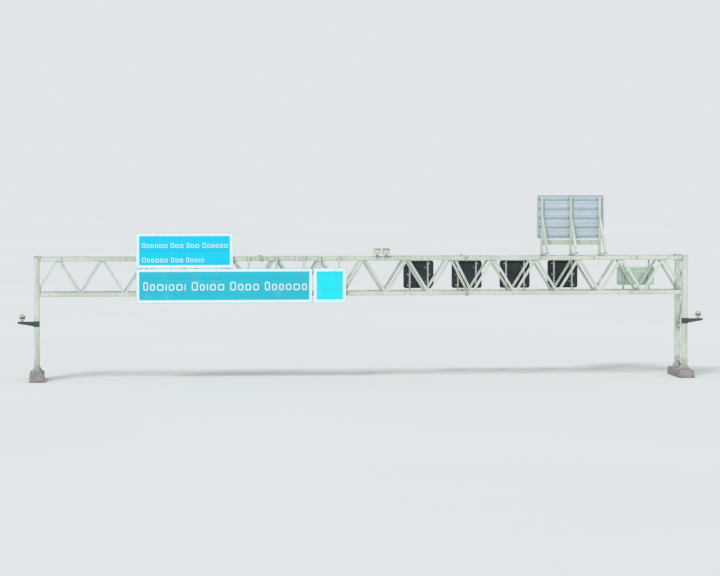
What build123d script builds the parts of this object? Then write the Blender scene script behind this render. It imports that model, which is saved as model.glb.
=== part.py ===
"""Overhead sign gantry across a dual four-lane road, made as a model at half its real size.

Every length is in millimetres of the model, so the real gantry measures twice as much.
X runs along the span, Y from the near side to the far side, and Z up from the ground.
The origin is at the middle of the span, midway between the two truss sides, on the ground.
"""

import os
from math import atan2, cos, degrees, hypot

from build123d import *

os.makedirs("parts", exist_ok=True)

# Box truss, a Warren girder on each side with flat bracing above and below
bay_count = 15
bay_length = 1650
truss_depth = 1300
truss_height = 1325
bottom_chord_height = 3270
chord_size = 150
chord_corner = 14
web_size = 90
brace_size = 60
flange_overhang = 35
flange_thickness = 15
flange_rib_length = 70
flange_rib_thickness = 10
end_bays = 5
bottom_splice_offset = 200
top_splice_offset = 600
site_bar_setback = 150
site_plate_length = 180
brace_setback = 150
brace_plate_length = 200
brace_plate_width = 120
brace_plate_thickness = 12
site_brace_setback = 170
site_brace_plate_length = 90

# Legs, each a pair of columns on a concrete plinth
column_size = 200
column_corner = 18
cap_overhang = 12
cap_thickness = 12
base_plate_size = 400
base_plate_thickness = 25
base_rib_height = 170
base_rib_thickness = 12
base_rib_lip = 25
base_rib_inset = 20
leg_strut_size = 100
leg_diagonal_size = 80
leg_plate_width = 150
leg_plate_height = 220
leg_plate_thickness = 14
lowest_strut_rise = 330
plinth_width = 540
plinth_end_margin = 350
plinth_height = 300
plinth_chamfer = 30

# Signs, each a flat panel with a back lip, carried by channels
panel_thickness = 12
panel_lip = 28
panel_lip_thickness = 8
panel_corner = 70
rail_width = 70
rail_depth = 40
rail_wall = 6
rail_end_gap = 30
rail_edge_margin = 130
sign_gap = 15
lower_sign_inset = 3725
lower_sign_width = 6650
lower_sign_drop = 335
lower_sign_height = 1305
upper_sign_width = 3650
upper_sign_height = 1330
end_sign_gap = 40
end_sign_width = 1240
lower_rail_count = 4
upper_rail_count = 4
rear_sign_inset = 2910
rear_sign_width = 2600
rear_sign_rise = 630
rear_sign_height = 1675
rear_rail_count = 5

# Posts that hold the front signs off the truss
post_size = 80
post_standoff = 20
post_bracket_width = 150
post_foot_drop = 40
tall_post_count = 3
tall_post_margin = 400
short_post_count = 3
short_post_left_margin = 600
short_post_margin = 300
end_post_count = 2
end_post_margin = 250

# Frames that stand on the top chords and hold the rear sign
frame_bar = 100
frame_sole_thickness = 80
frame_plate_length = 180
frame_plate_thickness = 15
frame_count = 3
frame_edge_margin = 170
strut_head_rise = 1480
tie_beam_depth = 185
tie_beam_gap = 45

# Lane signals and the message sign on the far side of the truss
signal_rail_width = 60
signal_rail_depth = 40
signal_rail_overlap = 70
lane_count = 4
half_reserve = 1312.5
verge_width = 3562.5
signal_width = 1150
signal_height = 1050
signal_depth = 140
signal_corner = 50
signal_rim = 45
signal_recess = 18
signal_rail_spacing = 700
visor_reach = 95
visor_wall = 14
lamp_radius = 62
lamp_depth = 10
lamp_inset = 160
display_size = 520
display_depth = 8
door_gap = 20
door_margin = 90
door_thickness = 15
message_inset = 1620
message_rise = 580
message_width = 1450
message_height = 700
message_depth = 150
message_corner = 25
message_rail_spacing = 1000
vent_count = 9
vent_height = 12
vent_width = 260
vent_depth = 8
vent_pitch = 36

# Detector housings on the near top chord
detector_x = 665
detector_spacing = 340
detector_width = 250
detector_height = 230
detector_length = 380
detector_corner = 30
detector_hood = 60
detector_hood_wall = 10
detector_window_radius = 75
detector_window_depth = 12
saddle_length = 760
saddle_thickness = 15
stub_radius = 40
stub_height = 60

# Camera brackets on the outer face of the near columns, above the middle strut's plates
collar_gap = 15
arm_reach = 600
arm_root_depth = 170
arm_tip_depth = 70
arm_width = 80
collar_height = 200
collar_thickness = 14
dome_offset = 170
dome_radius = 110
dome_foot_radius = 70
dome_foot_height = 15
dome_stub_radius = 35
dome_stub_height = 90
dome_drum_height = 90
dome_shade_reach = 14
dome_shade_height = 12
dome_shoulder_height = 60
dome_shoulder_taper = 30
dome_crown_height = 30
dome_crown_taper = 60

# Round fittings are drawn with this many sides
round_sides = 12

# Places worked out from the sizes above
half_span = bay_count * bay_length / 2
side_y = truss_depth / 2
top_chord_height = bottom_chord_height + truss_height
truss_top = top_chord_height + chord_size / 2
chord_face = side_y + chord_size / 2
chord_inner_face = side_y - chord_size / 2
truss_end = half_span - column_size / 2 - flange_thickness
flange_size = chord_size + 2 * flange_overhang
web_slope = truss_height / (bay_length / 2)
web_angle = atan2(truss_height, bay_length / 2)
bottom_splice_x = -half_span + end_bays * bay_length + bottom_splice_offset
top_splice_x = -half_span + (end_bays + 0.5) * bay_length - top_splice_offset
lowest_strut = plinth_height + lowest_strut_rise
middle_strut = (lowest_strut + bottom_chord_height) / 2
arm_height = middle_strut + leg_plate_height / 2 + collar_gap + collar_height / 2
lower_sign_left = -half_span + lower_sign_inset
lower_sign_bottom = bottom_chord_height - lower_sign_drop
lower_sign_right = lower_sign_left + lower_sign_width
upper_sign_right = lower_sign_left + upper_sign_width
upper_sign_bottom = lower_sign_bottom + lower_sign_height + sign_gap
end_sign_left = lower_sign_right + end_sign_gap
post_back = chord_face + post_standoff
post_front = post_back + post_size
rear_sign_left = half_span - rear_sign_inset - rear_sign_width
rear_sign_bottom = truss_top + rear_sign_rise
frame_face = side_y + frame_bar / 2
frame_foot = truss_top + frame_plate_thickness
signal_back = chord_face + signal_rail_depth
lane_width = (half_span - half_reserve - verge_width) / lane_count
message_x = half_span - message_inset
message_z = bottom_chord_height + message_rise


def bottom_node(index):
    """X of a node on the bottom chord, counted from the left column."""
    return -half_span + index * bay_length


def top_node(index):
    """X of a node on the top chord, counted from the left column."""
    return bottom_node(index) + bay_length / 2


def upright_plane(y):
    """A plane that faces the near side, with X to the right and Z up."""
    return Plane.XZ.offset(-y)


def spread(low, high, count):
    """Evenly spaced places from low to high."""
    return [low + (high - low) * i / (count - 1) for i in range(count)]


def save(builder, name):
    """Labels a finished piece and writes it to its own file."""
    builder.part.label = name
    export_step(builder.part, f"parts/{name}.step")


def draw_bar(start, end, width):
    """Adds the outline of a straight bar between two points to the open sketch."""
    run, rise = end[0] - start[0], end[1] - start[1]
    with Locations(((start[0] + end[0]) / 2, (start[1] + end[1]) / 2)):
        Rectangle(hypot(run, rise), width, rotation=degrees(atan2(rise, run)))


def draw_end_plates(y):
    """Adds the outlines of the two plates that join a truss side to its column."""
    run = half_span - truss_end + flange_thickness
    bar_top = run * web_slope + web_size / 2 / cos(web_angle) + flange_overhang
    low = -flange_size / 2
    with Locations((y, bottom_chord_height + (low + bar_top) / 2)):
        Rectangle(flange_size, bar_top - low)
    with Locations((y, top_chord_height)):
        Rectangle(flange_size, flange_size)


def make_column_outline():
    """The outline of a column, centred on the origin."""
    with BuildSketch() as outline:
        Rectangle(column_size, column_size)
        chamfer(outline.vertices(), column_corner)
    return outline.sketch


def make_splice_plate(x, way, y, level):
    """The plate that ends a chord at x, with ribs that run back along the chord by way."""
    root = x + way * flange_thickness
    tip = root + way * flange_rib_length
    with BuildPart() as plate:
        with BuildSketch(Plane.YZ.offset(x)):
            with Locations((y, level)):
                Rectangle(flange_size, flange_size)
        extrude(amount=way * flange_thickness)
        for plane, centre in ((upright_plane(y), level), (Plane.XY.offset(level), y)):
            with BuildSketch(plane):
                with BuildLine():
                    Polyline(
                        (root, centre - flange_size / 2),
                        (root, centre + flange_size / 2),
                        (tip, centre + chord_size / 2),
                        (tip, centre - chord_size / 2),
                        close=True,
                    )
                make_face()
            extrude(amount=flange_rib_thickness / 2, both=True)
    return plate.part


def make_plinth(name, x):
    """Concrete block under one leg, chamfered round its top."""
    with BuildPart() as plinth:
        with BuildSketch():
            with Locations((x, 0)):
                Rectangle(plinth_width, truss_depth + base_plate_size + 2 * plinth_end_margin)
        extrude(amount=plinth_height)
        chamfer(plinth.faces().sort_by(Axis.Z)[-1].edges(), plinth_chamfer)
    save(plinth, name)


def make_column(name, side, y):
    """One column with its base plate, ribs, cap and the plates that take the chords."""
    x = side * half_span
    base_top = plinth_height + base_plate_thickness
    rib_place = column_size / 2 - base_rib_thickness / 2
    rib_foot = base_plate_size / 2 - base_rib_inset
    column_outline = make_column_outline()
    with BuildPart() as column:
        with BuildSketch(Plane.XY.offset(plinth_height)):
            with Locations((x, y)):
                Rectangle(base_plate_size, base_plate_size)
        extrude(amount=base_plate_thickness)
        with BuildSketch(Plane.XY.offset(base_top)):
            with Locations((x, y)):
                add(column_outline)
        extrude(amount=truss_top - base_top)
        with BuildSketch(Plane.XY.offset(truss_top)):
            with Locations((x, y)):
                Rectangle(column_size + 2 * cap_overhang, column_size + 2 * cap_overhang)
        extrude(amount=cap_thickness)
        with BuildSketch(Plane.YZ.offset(side * (half_span - column_size / 2))):
            draw_end_plates(y)
        extrude(amount=-side * flange_thickness)
        for plane, centre, across in ((upright_plane, x, y), (Plane.YZ.offset, y, x)):
            for place in (across - rib_place, across + rib_place):
                with BuildSketch(plane(place)):
                    for way in (-1, 1):
                        with BuildLine():
                            Polyline(
                                (centre, base_top),
                                (centre + way * rib_foot, base_top),
                                (centre + way * rib_foot, base_top + base_rib_lip),
                                (centre + way * column_size / 2, base_top + base_rib_height),
                                (centre, base_top + base_rib_height),
                                close=True,
                            )
                        make_face()
                extrude(amount=base_rib_thickness / 2, both=True)
    save(column, name)


def make_leg_bracing(name, side):
    """Struts, diagonals and joint plates between the near and far column of one leg."""
    reach = side_y - column_size / 2
    levels = [lowest_strut, middle_strut, bottom_chord_height, top_chord_height]
    plate_low = lowest_strut - leg_plate_height / 2
    with BuildPart() as bracing:
        with BuildSketch(Plane.YZ.offset(side * half_span)):
            for level in levels:
                draw_bar((-reach, level), (reach, level), leg_strut_size)
        extrude(amount=leg_strut_size / 2, both=True)
        with BuildSketch(Plane.YZ.offset(side * half_span)):
            way = 1
            for below, above in zip(levels, levels[1:]):
                draw_bar((-way * reach, below), (way * reach, above), leg_diagonal_size)
                way = -way
            with Locations((0, (levels[0] + levels[-1]) / 2)):
                Rectangle(2 * reach, levels[-1] - levels[0], mode=Mode.INTERSECT)
        extrude(amount=leg_diagonal_size / 2, both=True)
        with BuildSketch(Plane.YZ.offset(side * half_span)):
            for level in levels:
                for edge in (-1, 1):
                    with Locations((edge * (reach - leg_plate_width / 2), level)):
                        Rectangle(leg_plate_width, leg_plate_height)
            with Locations((0, (plate_low + truss_top) / 2)):
                Rectangle(2 * reach, truss_top - plate_low, mode=Mode.INTERSECT)
        extrude(amount=leg_plate_thickness / 2, both=True)
    save(bracing, name)


def make_end_side(y):
    """The left length of one truss side, from its column to the two chord splices."""
    last = end_bays
    web_start = -truss_end + flange_thickness
    site_plate_z = top_chord_height - chord_size / 2 - flange_thickness
    site_head = top_node(last) - site_bar_setback
    site_plate_x = site_head - (chord_size / 2) / web_slope
    splices = ((bottom_chord_height, bottom_splice_x), (top_chord_height, top_splice_x))
    splice_plates = [make_splice_plate(x, -1, y, level) for level, x in splices]
    with BuildPart() as side:
        add(splice_plates)
        for level, splice_x in splices:
            with BuildSketch(Plane.YZ.offset(-truss_end)) as outline:
                with Locations((y, level)):
                    Rectangle(chord_size, chord_size)
                chamfer(outline.vertices(), chord_corner)
            extrude(amount=splice_x + truss_end)
        with BuildSketch(Plane.YZ.offset(-truss_end)):
            draw_end_plates(y)
        extrude(amount=flange_thickness)
        with BuildSketch(upright_plane(y)):
            for index in range(last):
                foot = (bottom_node(index), bottom_chord_height)
                head = (top_node(index), top_chord_height)
                next_foot = (bottom_node(index + 1), bottom_chord_height)
                draw_bar(foot, head, web_size)
                draw_bar(head, next_foot, web_size)
            with Locations(((web_start + bottom_splice_x) / 2, bottom_chord_height + truss_height / 2)):
                Rectangle(bottom_splice_x - web_start, truss_height, mode=Mode.INTERSECT)
        extrude(amount=web_size / 2, both=True)
        with BuildSketch(upright_plane(y)):
            draw_bar((bottom_node(last), bottom_chord_height), (site_head, top_chord_height), web_size)
            with Locations((bottom_node(last), (bottom_chord_height + site_plate_z) / 2)):
                Rectangle(2 * bay_length, site_plate_z - bottom_chord_height, mode=Mode.INTERSECT)
        extrude(amount=web_size / 2, both=True)
        with BuildSketch(Plane.XY.offset(site_plate_z)):
            with Locations((site_plate_x, y)):
                Rectangle(site_plate_length, chord_size)
        extrude(amount=flange_thickness)
    return side


def make_middle_side(y):
    """The middle length of one truss side, between the splices."""
    first, last = end_bays, bay_count - end_bays
    splices = ((bottom_chord_height, bottom_splice_x), (top_chord_height, top_splice_x))
    left_plates = [make_splice_plate(x, 1, y, level) for level, x in splices]
    right_plates = [make_splice_plate(-x, -1, y, level) for level, x in splices]
    with BuildPart() as side:
        add(left_plates + right_plates)
        for level, splice_x in splices:
            with BuildSketch(Plane.YZ.offset(splice_x)) as outline:
                with Locations((y, level)):
                    Rectangle(chord_size, chord_size)
                chamfer(outline.vertices(), chord_corner)
            extrude(amount=-2 * splice_x)
        with BuildSketch(upright_plane(y)):
            for index in range(first, last - 1):
                head = (top_node(index), top_chord_height)
                foot = (bottom_node(index + 1), bottom_chord_height)
                next_head = (top_node(index + 1), top_chord_height)
                draw_bar(head, foot, web_size)
                draw_bar(foot, next_head, web_size)
            with Locations((0, bottom_chord_height + truss_height / 2)):
                Rectangle(2 * half_span, truss_height, mode=Mode.INTERSECT)
        extrude(amount=web_size / 2, both=True)
    return side


def make_flat_bracing(level, stations, reaches_on):
    """Cross bars, zigzag diagonals and joint plates between the near and far chord at one level.

    The bracing of an end length reaches on past its splice: it starts with a diagonal at the
    column, and its last diagonal stops short of the next length's first station.
    """
    corners = list(stations)
    crossed = list(stations)
    if reaches_on:
        corners[-1] -= site_brace_setback
        crossed = corners[1:-1]
    with BuildPart() as bracing:
        with BuildSketch(Plane.XY.offset(level)):
            for x in crossed:
                draw_bar((x, -chord_inner_face), (x, chord_inner_face), brace_size)
            way = 1
            for start, end in zip(corners, corners[1:]):
                draw_bar((start, -way * chord_inner_face), (end, way * chord_inner_face), brace_size)
                way = -way
            low = corners[0] if reaches_on else corners[0] - brace_size / 2
            high = corners[-1] + brace_size / 2
            with Locations(((low + high) / 2, 0)):
                Rectangle(high - low, 2 * chord_inner_face, mode=Mode.INTERSECT)
        extrude(amount=brace_size / 2, both=True)
        with BuildSketch(Plane.XY.offset(level)):
            touched = -1
            for x in corners:
                length = brace_plate_length if x in crossed else site_brace_plate_length
                for edge in (-1, 1):
                    if x in crossed or edge == touched:
                        with Locations((x, edge * (chord_inner_face - brace_plate_width / 2))):
                            Rectangle(length, brace_plate_width)
                touched = -touched
        extrude(amount=brace_plate_thickness / 2, both=True)
    return bracing


def save_mirrored(builder, name):
    """Writes the same piece turned over for the other end of the span."""
    with BuildPart() as other:
        mirror(builder.part, about=Plane.YZ)
    save(other, name)


def make_panel(name, left, width, bottom, height, back, side):
    """A sign's flat panel with a lip round its back. Side is -1 for near and 1 for far."""
    centre = (left + width / 2, bottom + height / 2)
    inner = (width - 2 * panel_lip_thickness, height - 2 * panel_lip_thickness)
    with BuildPart() as panel:
        with BuildSketch(upright_plane(side * back)):
            with Locations(centre):
                RectangleRounded(width, height, panel_corner)
                RectangleRounded(*inner, panel_corner - panel_lip_thickness, mode=Mode.SUBTRACT)
        extrude(amount=-side * panel_lip)
        with BuildSketch(upright_plane(side * (back + panel_lip))):
            with Locations(centre):
                RectangleRounded(width, height, panel_corner)
        extrude(amount=-side * panel_thickness)
    save(panel, name)


def make_rails(name, left, width, bottom, height, count, back, side):
    """Channels that run along the back of a sign panel, open towards the panel."""
    inset = panel_lip_thickness + rail_end_gap
    middle = side * (back + rail_depth / 2)
    hollow = middle + side * rail_wall / 2
    with BuildPart() as rails:
        for z in spread(bottom + rail_edge_margin, bottom + height - rail_edge_margin, count):
            with BuildSketch(Plane.YZ.offset(left + inset)):
                with Locations((middle, z)):
                    Rectangle(rail_depth, rail_width)
                with Locations((hollow, z)):
                    Rectangle(rail_depth - rail_wall, rail_width - 2 * rail_wall, mode=Mode.SUBTRACT)
            extrude(amount=width - 2 * inset)
    save(rails, name)


def make_front_posts():
    """Posts that stand off the near chords and carry the three front signs."""
    upper_top = upper_sign_bottom + upper_sign_height - rail_edge_margin + rail_width
    post_foot = lower_sign_bottom + post_foot_drop
    tall = spread(lower_sign_left + tall_post_margin, upper_sign_right - tall_post_margin, tall_post_count)
    short_left = upper_sign_right + short_post_left_margin
    short = spread(short_left, lower_sign_right - short_post_margin, short_post_count)
    end_right = end_sign_left + end_sign_width - end_post_margin
    end = spread(end_sign_left + end_post_margin, end_right, end_post_count)
    tops = [(x, upper_top) for x in tall] + [(x, truss_top) for x in short + end]
    with BuildPart() as posts:
        for x, top in tops:
            with BuildSketch(upright_plane(-post_back)):
                with Locations((x, (post_foot + top) / 2)):
                    Rectangle(post_size, top - post_foot)
            extrude(amount=post_size)
            with BuildSketch(upright_plane(-chord_face)):
                with Locations((x, bottom_chord_height), (x, top_chord_height)):
                    Rectangle(post_bracket_width, chord_size)
            extrude(amount=post_standoff)
    save(posts, "front_sign_posts")


def rear_frame_places():
    """X of each frame behind the rear sign."""
    return spread(
        rear_sign_left + frame_edge_margin,
        rear_sign_left + rear_sign_width - frame_edge_margin,
        frame_count,
    )


def make_rear_frames():
    """Triangular frames on the top chords: foot plates, a sole, a post and a raking strut each."""
    sole_top = frame_foot + frame_sole_thickness
    sole_reach = side_y + frame_bar / 2
    post_top = rear_sign_bottom + rear_sign_height - rail_edge_margin + rail_width
    with BuildPart() as frames:
        for x in rear_frame_places():
            with BuildSketch(Plane.XY.offset(truss_top)):
                with Locations((x, -side_y), (x, side_y)):
                    Rectangle(frame_plate_length, chord_size)
            extrude(amount=frame_plate_thickness)
            with BuildSketch(Plane.YZ.offset(x)):
                with Locations((0, frame_foot + frame_sole_thickness / 2)):
                    Rectangle(2 * sole_reach, frame_sole_thickness)
                with Locations((side_y, (frame_foot + post_top) / 2)):
                    Rectangle(frame_bar, post_top - frame_foot)
                draw_bar((-side_y, sole_top), (side_y, frame_foot + strut_head_rise), frame_bar)
                with Locations((0, (frame_foot + post_top) / 2)):
                    Rectangle(2 * sole_reach, post_top - frame_foot, mode=Mode.INTERSECT)
            extrude(amount=frame_bar / 2, both=True)
    save(frames, "rear_sign_frames")


def make_tie_beam():
    """Channel that ties the three rear frames together just below the panel."""
    places = rear_frame_places()
    start = places[0] - frame_bar / 2
    length = places[-1] + frame_bar / 2 - start
    centre_z = rear_sign_bottom - tie_beam_gap - tie_beam_depth / 2
    with BuildPart() as beam:
        with BuildSketch(Plane.YZ.offset(start)):
            with Locations((frame_face + rail_depth / 2, centre_z)):
                Rectangle(rail_depth, tie_beam_depth)
            with Locations((frame_face + rail_depth / 2 + rail_wall / 2, centre_z)):
                Rectangle(rail_depth - rail_wall, tie_beam_depth - 2 * rail_wall, mode=Mode.SUBTRACT)
        extrude(amount=length)
    save(beam, "rear_sign_tie_beam")


def signal_places():
    """X of each lane signal, over the middle of its lane."""
    return [half_reserve + (i + 0.5) * lane_width for i in range(lane_count)]


def make_signal_rails():
    """Upright rails on the far chords, two behind each lane signal and the message sign."""
    pairs = [(x, signal_rail_spacing) for x in signal_places()] + [(message_x, message_rail_spacing)]
    foot = bottom_chord_height - signal_rail_overlap
    head = top_chord_height + signal_rail_overlap
    with BuildPart() as rails:
        for x, spacing in pairs:
            with BuildSketch(upright_plane(chord_face)):
                with Locations((x - spacing / 2, (foot + head) / 2), (x + spacing / 2, (foot + head) / 2)):
                    Rectangle(signal_rail_width, head - foot)
            extrude(amount=-signal_rail_depth)
    save(rails, "signal_mount_rails")


def make_lane_signal(name, x):
    """Square lane signal that faces the far side, with a visor, four corner lamps and a back door."""
    z = bottom_chord_height + truss_height / 2
    door_width = signal_rail_spacing - signal_rail_width - 2 * door_gap
    face = signal_back + signal_depth
    lamp_x = signal_width / 2 - lamp_inset
    lamp_z = signal_height / 2 - lamp_inset
    lamps = [(x + i * lamp_x, z + j * lamp_z) for i in (-1, 1) for j in (-1, 1)]
    recess_back = face - signal_recess
    with BuildPart() as signal:
        with BuildSketch(upright_plane(signal_back)) as outline:
            with Locations((x, z)):
                Rectangle(signal_width, signal_height)
            chamfer(outline.vertices(), signal_corner)
        extrude(amount=-signal_depth)
        with BuildSketch(upright_plane(signal_back)):
            with Locations((x, z)):
                Rectangle(door_width, signal_height - 2 * door_margin)
        extrude(amount=door_thickness)
        with BuildSketch(upright_plane(face)):
            with Locations((x, z)):
                Rectangle(signal_width - 2 * signal_rim, signal_height - 2 * signal_rim)
        extrude(amount=signal_recess, mode=Mode.SUBTRACT)
        with BuildSketch(upright_plane(recess_back)):
            with Locations(lamps):
                RegularPolygon(lamp_radius, round_sides)
        extrude(amount=-lamp_depth)
        with BuildSketch(upright_plane(recess_back)):
            with Locations((x, z)):
                Rectangle(display_size, display_size)
        extrude(amount=-display_depth)
        with BuildSketch(Plane.YZ.offset(x - signal_width / 2 + signal_corner)):
            with BuildLine():
                Polyline(
                    (face, z + signal_height / 2),
                    (face + visor_reach, z + signal_height / 2),
                    (face + visor_reach, z + signal_height / 2 - visor_wall),
                    (face, z + signal_height / 2 - visor_wall),
                    close=True,
                )
            make_face()
        extrude(amount=signal_width - 2 * signal_corner)
        for edge in (-signal_width / 2 + signal_corner, signal_width / 2 - signal_corner - visor_wall):
            with BuildSketch(Plane.YZ.offset(x + edge)):
                with BuildLine():
                    Polyline(
                        (face, z + signal_height / 2),
                        (face + visor_reach, z + signal_height / 2),
                        (face, z - signal_height / 2 + signal_corner),
                        close=True,
                    )
                make_face()
            extrude(amount=visor_wall)
    save(signal, name)


def make_message_sign():
    """Long message sign at the nearside verge, facing the far side, with vents in its back."""
    face = signal_back + message_depth
    vent_top = message_z + vent_pitch * (vent_count - 1) / 2
    vents = [
        (message_x + way * message_rail_spacing / 4, vent_top - i * vent_pitch)
        for way in (-1, 1)
        for i in range(vent_count)
    ]
    with BuildPart() as sign:
        with BuildSketch(upright_plane(signal_back)) as outline:
            with Locations((message_x, message_z)):
                Rectangle(message_width, message_height)
            chamfer(outline.vertices(), message_corner)
        extrude(amount=-message_depth)
        with BuildSketch(upright_plane(face)):
            with Locations((message_x, message_z)):
                Rectangle(message_width - 2 * signal_rim, message_height - 2 * signal_rim)
        extrude(amount=signal_recess, mode=Mode.SUBTRACT)
        with BuildSketch(upright_plane(signal_back)):
            with Locations(vents):
                Rectangle(vent_width, vent_height)
        extrude(amount=-vent_depth, mode=Mode.SUBTRACT)
    save(sign, "message_sign")


def make_detectors():
    """Two hooded detector housings on a saddle plate on the near top chord."""
    places = (detector_x - detector_spacing / 2, detector_x + detector_spacing / 2)
    saddle_top = truss_top + saddle_thickness
    box_bottom = saddle_top + stub_height
    box_centre = box_bottom + detector_height / 2
    front = -side_y - detector_length / 2
    with BuildPart() as saddle:
        with BuildSketch(Plane.XY.offset(truss_top)):
            with Locations((detector_x, -side_y)):
                Rectangle(saddle_length, chord_size)
        extrude(amount=saddle_thickness)
        with BuildSketch(Plane.XY.offset(saddle_top)):
            for x in places:
                with Locations((x, -side_y)):
                    RegularPolygon(stub_radius, round_sides)
        extrude(amount=stub_height)
    save(saddle, "detector_saddle")
    with BuildPart() as housings:
        for x in places:
            with BuildSketch(upright_plane(front)) as outline:
                with Locations((x, box_centre)):
                    Rectangle(detector_width, detector_height)
                chamfer(outline.vertices(), detector_corner)
            extrude(amount=-detector_length)
            with BuildSketch(upright_plane(front)):
                with Locations((x, box_centre)):
                    RegularPolygon(detector_window_radius, round_sides)
            extrude(amount=-detector_window_depth, mode=Mode.SUBTRACT)
            with BuildSketch(Plane.XY.offset(box_bottom + detector_height)):
                with Locations((x, -side_y - detector_hood / 2)):
                    Rectangle(detector_width, detector_length + detector_hood)
            extrude(amount=detector_hood_wall)
    save(housings, "detector_housings")


def make_camera_bracket(side, arm_name, dome_name):
    """Collar and tapered arm on a near column, and the dome camera that stands on it."""
    outer_face = half_span + column_size / 2
    root_top = arm_height + arm_root_depth / 2
    dome_x = side * (outer_face + arm_reach - dome_offset)
    drum_height = root_top + dome_stub_height
    shade_height = drum_height + dome_drum_height
    shoulder_height = shade_height + dome_shade_height
    column_outline = make_column_outline()
    with BuildPart() as arm:
        with BuildSketch(Plane.XY.offset(arm_height - collar_height / 2)) as outline:
            with Locations((side * half_span, -side_y)):
                Rectangle(column_size + 2 * collar_thickness, column_size + 2 * collar_thickness)
            chamfer(outline.vertices(), column_corner)
            with Locations((side * half_span, -side_y)):
                add(column_outline, mode=Mode.SUBTRACT)
        extrude(amount=collar_height)
        with BuildSketch(upright_plane(-side_y)):
            with BuildLine():
                Polyline(
                    (side * (outer_face + collar_thickness / 2), root_top - arm_root_depth),
                    (side * (outer_face + arm_reach), root_top - arm_tip_depth),
                    (side * (outer_face + arm_reach), root_top),
                    (side * (outer_face + collar_thickness / 2), root_top),
                    close=True,
                )
            make_face()
        extrude(amount=arm_width / 2, both=True)
    save(arm, arm_name)
    tiers = (
        (root_top, dome_foot_radius, dome_foot_height, 0),
        (root_top, dome_stub_radius, dome_stub_height, 0),
        (drum_height, dome_radius, dome_drum_height, 0),
        (shade_height, dome_radius + dome_shade_reach, dome_shade_height, 0),
        (shoulder_height, dome_radius, dome_shoulder_height, dome_shoulder_taper),
    )
    with BuildPart() as dome:
        for bottom, radius, height, slope in tiers:
            with BuildSketch(Plane.XY.offset(bottom)):
                with Locations((dome_x, -side_y)):
                    RegularPolygon(radius, round_sides)
            extrude(amount=height, taper=slope)
        extrude(dome.faces().sort_by(Axis.Z)[-1], amount=dome_crown_height, taper=dome_crown_taper)
    save(dome, dome_name)


for side_name, side in (("left", -1), ("right", 1)):
    make_plinth(f"{side_name}_plinth", side * half_span)
    make_leg_bracing(f"{side_name}_leg_bracing", side)
    for row_name, row in (("front", -1), ("rear", 1)):
        make_column(f"{side_name}_{row_name}_column", side, row * side_y)
    make_camera_bracket(side, f"{side_name}_camera_arm", f"{side_name}_camera_dome")

for row_name, row in (("front", -1), ("rear", 1)):
    end_side = make_end_side(row * side_y)
    save(end_side, f"{row_name}_truss_left")
    save_mirrored(end_side, f"{row_name}_truss_right")
    save(make_middle_side(row * side_y), f"{row_name}_truss_middle")

end_top_stations = [-truss_end + brace_setback] + [top_node(i) for i in range(end_bays + 1)]
end_bottom_stations = [-truss_end + brace_setback] + [bottom_node(i) for i in range(1, end_bays + 2)]
middle_top_stations = [top_node(i) for i in range(end_bays, bay_count - end_bays)]
middle_bottom_stations = [bottom_node(i) for i in range(end_bays + 1, bay_count - end_bays)]
for level_name, level, end_stations, middle_stations in (
    ("top", top_chord_height, end_top_stations, middle_top_stations),
    ("bottom", bottom_chord_height, end_bottom_stations, middle_bottom_stations),
):
    end_bracing = make_flat_bracing(level, end_stations, True)
    save(end_bracing, f"{level_name}_bracing_left")
    save_mirrored(end_bracing, f"{level_name}_bracing_right")
    save(make_flat_bracing(level, middle_stations, False), f"{level_name}_bracing_middle")

for sign_name, left, width, bottom, height, count, back, side in (
    ("lower_sign", lower_sign_left, lower_sign_width, lower_sign_bottom, lower_sign_height,
     lower_rail_count, post_front, -1),
    ("end_sign", end_sign_left, end_sign_width, lower_sign_bottom, lower_sign_height,
     lower_rail_count, post_front, -1),
    ("upper_sign", lower_sign_left, upper_sign_width, upper_sign_bottom, upper_sign_height,
     upper_rail_count, post_front, -1),
    ("rear_sign", rear_sign_left, rear_sign_width, rear_sign_bottom, rear_sign_height,
     rear_rail_count, frame_face, 1),
):
    make_rails(f"{sign_name}_rails", left, width, bottom, height, count, back, side)
    panel_back = back + rail_depth - panel_lip
    make_panel(f"{sign_name}_panel", left, width, bottom, height, panel_back, side)

make_front_posts()
make_rear_frames()
make_tie_beam()
make_signal_rails()
for number, x in enumerate(signal_places(), 1):
    make_lane_signal(f"lane_signal_{number}", x)
make_message_sign()
make_detectors()
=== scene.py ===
"""Looks of the overhead sign gantry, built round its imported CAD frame.

Every length is in metres of the half-size model, in the CAD's own frame: X along the span,
Y from the near side to the far side, Z up from the ground.
"""

from functools import partial
from itertools import product
from math import cos, hypot, pi, radians, sin, tan
from random import Random

import bmesh
import bpy
from mathutils import Matrix, Vector


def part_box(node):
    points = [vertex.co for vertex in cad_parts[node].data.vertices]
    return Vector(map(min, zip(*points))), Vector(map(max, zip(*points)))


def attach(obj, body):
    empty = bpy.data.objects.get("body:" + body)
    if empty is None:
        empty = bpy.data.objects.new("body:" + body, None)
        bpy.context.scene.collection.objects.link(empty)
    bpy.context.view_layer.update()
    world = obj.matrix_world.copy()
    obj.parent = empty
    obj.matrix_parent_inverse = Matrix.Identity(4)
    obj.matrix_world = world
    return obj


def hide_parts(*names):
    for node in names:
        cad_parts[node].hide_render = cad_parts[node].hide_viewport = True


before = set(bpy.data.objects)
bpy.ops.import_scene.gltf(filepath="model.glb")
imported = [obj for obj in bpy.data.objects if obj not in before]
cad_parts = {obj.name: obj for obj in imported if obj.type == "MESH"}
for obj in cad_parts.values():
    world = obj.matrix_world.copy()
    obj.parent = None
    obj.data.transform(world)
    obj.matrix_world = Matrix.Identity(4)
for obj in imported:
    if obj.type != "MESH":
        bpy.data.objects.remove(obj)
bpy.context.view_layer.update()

# Both ways along an axis, and the corners of a rectangle in turn
BOTH = (-1, 1)
CORNERS = ((1, 1), (-1, 1), (-1, -1), (1, -1))

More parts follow.
